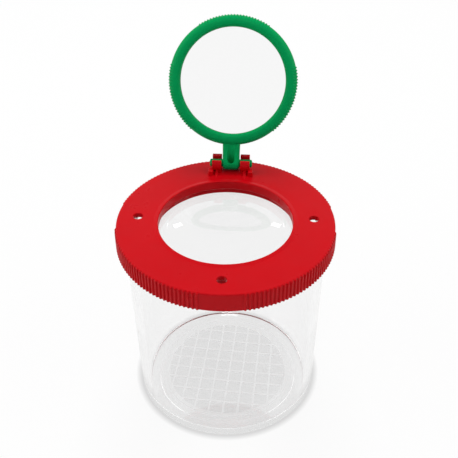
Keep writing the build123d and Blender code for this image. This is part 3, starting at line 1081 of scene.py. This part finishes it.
def magnifier_arm(settings):
    """The waisted arm, skinned over rounded cross sections, with a round heel at the pin."""
    sizes = settings.magnifier
    groove_radius = settings.lenses.glass_radius + sizes.groove_gap
    root = (groove_radius + ring_outer(sizes)) / 2 - sizes.arm_length
    thick = sizes.arm_thickness / 2
    heel_start = thick - sizes.heel_round
    stations = [(root - root * step / ARM_STEPS, thick) for step in range(ARM_STEPS)]
    heel_turns = [HEEL_TURN * step / ARM_STEPS for step in range(ARM_STEPS + 1)]
    stations += [(thick * sin(t), thick * cos(t)) for t in heel_turns]
    rings = []
    for along, half_thick in stations:
        part = (along - root) / (thick - root)
        wide = sizes.arm_width / 2 + sizes.arm_flare * (1 - part)
        wide -= (sizes.arm_waist + sizes.arm_flare / 2) * sin(pi * part)
        if along > heel_start:
            wide -= sizes.heel_round - sqrt(sizes.heel_round ** 2 - (along - heel_start) ** 2)
        soft = min(sizes.arm_round, ARM_ROUND_SHARE * half_thick)
        face = sizes.arm_step * max(0.0, along / root) - half_thick
        corners = [(-wide, face), (wide, face), (wide, half_thick), (-wide, half_thick)]
        rings.append(across_arm([(x, z, soft) for x, z in corners], along))
    return loft("arm", rings)


def arm_slot(settings):
    """The cut of the slot in the arm's face. Its floor drops into a pit at the heel."""
    sizes = settings.magnifier
    radius = sizes.slot_width / 2
    face = -sizes.arm_thickness / 2
    top = face - OVERRUN
    run = sizes.slot_length - radius
    turns = [pi / 2 * step / SLOT_END_STEPS for step in range(1, SLOT_END_STEPS + 1)]
    ends = [radius * (1 - cos(t)) for t in turns]
    stations = [(-sizes.slot_length + reach, reach) for reach in ends]
    stations += [(-run + (run - radius) * step / SLOT_STEPS, radius) for step in range(1, SLOT_STEPS)]
    stations += [(-reach, reach) for reach in reversed(ends)]
    rings = []
    for along, reach in stations:
        wide = sqrt(radius ** 2 - (radius - reach) ** 2)
        part = 1 + along / sizes.slot_length
        floor = face + sizes.slot_depth + sizes.slot_pit * part ** PIT_POWER
        soft = min(sizes.slot_round, SLOT_ROUND_SHARE * wide)
        corners = [(-wide, top, 0.0), (wide, top, 0.0), (wide, floor, soft), (-wide, floor, soft)]
        rings.append(across_arm(corners, along))
    return loft("slot", rings)


def hinge_pin(settings):
    """The cross pin at the arm's heel, with rounded ends."""
    hinge = settings.hinge
    half = clip_inside(settings) + hinge.clip_width + hinge.pin_proud
    outline = circle((0, 0), hinge.pin_radius, PIN_COLUMNS)
    return prism("pin", outline, -half, half, hinge.pin_round, ALONG_X)


def make_magnifier(settings):
    """Ring, arm and pin in one moulding."""
    piece = magnifier_ring(settings)
    combined(piece, [magnifier_arm(settings), hinge_pin(settings)], "UNION")
    combined(piece, [arm_slot(settings)], "DIFFERENCE")
    piece.data.transform(opened())
    finishes = settings.finishes
    plastic = satin_plastic("green_plastic", finishes.green, finishes.satin, finishes.green_gloss)
    return dressed(piece, "magnifier_ring", "magnifier_frame", "magnifier", plastic)


# Stage

# Lamps: name, place, side, power in watts, and whether gloss mirrors it
LAMPS = (
    ("left_box", (-0.75, -0.15, 0.5), 0.9, 3.4, True),
    ("right_box", (0.75, -0.1, 0.5), 0.9, 2.7, True),
    ("front_box", (0.0, -0.45, 0.91), 0.2, 0.7, True),
    ("back_box", (-0.02, 0.42, 0.8), 0.35, 3.6, False),
    ("left_window", (-0.3, 0.78, 0.62), 0.045, 0.025, True),
    ("right_window", (0.195, 0.81, 0.62), 0.045, 0.025, True),
)
LAMP_TARGET = Vector((0.0, 0.0, 60 * MM))

# The floor as scattered light meets it, and under the white that the camera sees
FLOOR_DIM = (0.75, 0.75, 0.75)
FLOOR_MATT = (0.95, 0.95, 0.95)
WHITE = (1.0, 1.0, 1.0, 1.0)

# Width of the camera's sensor in millimetres, and the nearest that it sees in metres
SENSOR_WIDTH = 36.0
NEAREST = 0.01


def seen_ray(tree):
    """1 for rays that the camera, a gloss or clear plastic follows, else 0."""
    path = tree.nodes.new("ShaderNodeLightPath").outputs
    return either(tree, path["Is Camera Ray"], path["Is Glossy Ray"], path["Is Transmission Ray"])


def make_world(stage):
    """Even light all round, seen as a white backdrop."""
    world = bpy.data.worlds.new("white_backdrop")
    bpy.context.scene.world = world
    world.use_nodes = True
    tree = world.node_tree
    even = wire(tree, tree.nodes["Background"], {"Color": WHITE, "Strength": stage.fill})
    white = wire(tree, tree.nodes.new("ShaderNodeBackground"), {"Color": WHITE})
    seen = blended(tree, seen_ray(tree), even.outputs["Background"], white.outputs["Background"])
    tree.links.new(seen, tree.nodes["World Output"].inputs["Surface"])


def floor_finish(settings):
    """Pale, nearly white where it is seen, with painted shadow under the jar and darkest just past its
    edge.
    """
    stage, base = settings.stage, settings.jar.base_radius
    material = bpy.data.materials.new("pale_floor")
    material.use_nodes = True
    tree = material.node_tree
    tree.nodes.remove(tree.nodes["Principled BSDF"])
    reach = from_axis(tree, tree.nodes.new("ShaderNodeTexCoord").outputs["Object"])
    # Painted shadow: the floor's white is dimmed under the jar, is darkest just past the jar's edge, and
    # clears to full white further out
    edge = base + stage.contact_edge
    under = spread(tree, reach, stage.floor_shade, 0.0, base - stage.contact_start, edge)
    painted_contact_shadow = spread(tree, reach, stage.contact_shade, 1.0, edge, base + stage.contact_end)
    glow = wire(tree, tree.nodes.new("ShaderNodeEmission"), {"Strength": either(tree, under, painted_contact_shadow)})
    matt = even_shader(tree, "ShaderNodeBsdfDiffuse", FLOOR_MATT)
    pale = blended(tree, stage.floor_white, matt, glow.outputs["Emission"])
    dim = even_shader(tree, "ShaderNodeBsdfDiffuse", FLOOR_DIM)
    seen = blended(tree, seen_ray(tree), dim, pale)
    tree.links.new(seen, tree.nodes["Material Output"].inputs["Surface"])
    return material


def make_floor(settings):
    """A square floor that keeps the jar's shadow, with more shadow painted under and round the jar."""
    half = settings.stage.floor_side / 2
    low = -settings.stage.floor_drop
    corners = [(-half, -half, low), (half, -half, low), (half, half, low), (-half, half, low)]
    mesh = bpy.data.meshes.new("floor")
    mesh.from_pydata(corners, [], [(0, 1, 2, 3)])
    mesh.materials.append(floor_finish(settings))
    floor = placed("floor", mesh)


def soft_box(name, place, side, power, mirrored):
    """A square lamp that faces the jar. Clear plastic never shows it, and gloss only if mirrored."""
    lamp = bpy.data.lights.new(name, "AREA")
    lamp.shape = "SQUARE"
    lamp.size = side
    lamp.energy = power
    holder = placed(name, lamp)
    holder.location = place
    holder.rotation_euler = (LAMP_TARGET - Vector(place)).to_track_quat("-Z", "Y").to_euler()
    holder.visible_transmission = False
    holder.visible_glossy = mirrored


def make_camera(stage):
    """The camera at the photograph's viewing angle."""
    camera = bpy.data.cameras.new("camera")
    camera.lens = stage.camera_lens
    camera.sensor_width = SENSOR_WIDTH
    camera.clip_start = NEAREST
    holder = placed("camera", camera)
    look = Matrix.Rotation(stage.camera_pan, 4, "Z") @ Matrix.Rotation(pi / 2 - stage.camera_dip, 4, "X")
    holder.matrix_world = (
        Matrix.Translation(stage.camera_place) @ look @ Matrix.Rotation(-stage.camera_roll, 4, "Z")
    )
    bpy.context.scene.camera = holder


def make_stage(settings):
    """Floor, backdrop, lamps and camera."""
    bpy.context.scene.view_settings.view_transform = "Standard"
    make_world(settings.stage)
    make_floor(settings)
    for lamp in LAMPS:
        soft_box(*lamp)
    make_camera(settings.stage)


# Operators


class BUGJAR_OT_jar(Operator):
    """Build the clear beaker with its measuring grid"""

    bl_idname = "bug_jar.jar"
    bl_label = "Jar"

    def execute(self, context):
        make_jar(context.scene.bug_jar)
        return {"FINISHED"}


class BUGJAR_OT_lid(Operator):
    """Build the ribbed lid with its air holes and hinge clips"""

    bl_idname = "bug_jar.lid"
    bl_label = "Lid"

    def execute(self, context):
        make_lid(context.scene.bug_jar)
        return {"FINISHED"}


class BUGJAR_OT_lenses(Operator):
    """Build the lens in the lid and the lens in the magnifier"""

    bl_idname = "bug_jar.lenses"
    bl_label = "Lenses"

    def execute(self, context):
        make_lenses(context.scene.bug_jar)
        return {"FINISHED"}


class BUGJAR_OT_magnifier(Operator):
    """Build the magnifier's ring, arm and pin"""

    bl_idname = "bug_jar.magnifier"
    bl_label = "Magnifier"

    def execute(self, context):
        make_magnifier(context.scene.bug_jar)
        return {"FINISHED"}


class BUGJAR_OT_stage(Operator):
    """Set up the floor, backdrop, lamps and camera"""

    bl_idname = "bug_jar.stage"
    bl_label = "Stage"

    def execute(self, context):
        make_stage(context.scene.bug_jar)
        return {"FINISHED"}


class BUGJAR_PT_panel(Panel):
    """Lists the sizes, the colours and the steps that build the jar"""

    bl_idname = "BUGJAR_PT_panel"
    bl_label = "Bug Jar"
    bl_space_type = "VIEW_3D"
    bl_region_type = "UI"
    bl_category = "Bug Jar"

    def draw(self, context):
        settings = context.scene.bug_jar
        for step in STEPS:
            self.layout.operator(step.bl_idname)
        for group in BugJar.__annotations__:
            box = self.layout.box()
            box.label(text=group.title())
            values = getattr(settings, group)
            for name in type(values).__annotations__:
                box.prop(values, name)


STEPS = (BUGJAR_OT_jar, BUGJAR_OT_lid, BUGJAR_OT_lenses, BUGJAR_OT_magnifier, BUGJAR_OT_stage)
GROUPS = (JarSizes, LidSizes, HingeSizes, MagnifierSizes, LensSizes, Finishes, StageSizes, BugJar)
CLASSES = (*GROUPS, *STEPS, BUGJAR_PT_panel)


def register():
    for each in CLASSES:
        bpy.utils.register_class(each)
    bpy.types.Scene.bug_jar = PointerProperty(type=BugJar)


def unregister():
    del bpy.types.Scene.bug_jar
    for each in reversed(CLASSES):
        bpy.utils.unregister_class(each)


def main():
    register()
    bpy.ops.bug_jar.jar()
    bpy.ops.bug_jar.lid()
    bpy.ops.bug_jar.lenses()
    bpy.ops.bug_jar.magnifier()
    bpy.ops.bug_jar.stage()


if __name__ == "__main__":
    main()
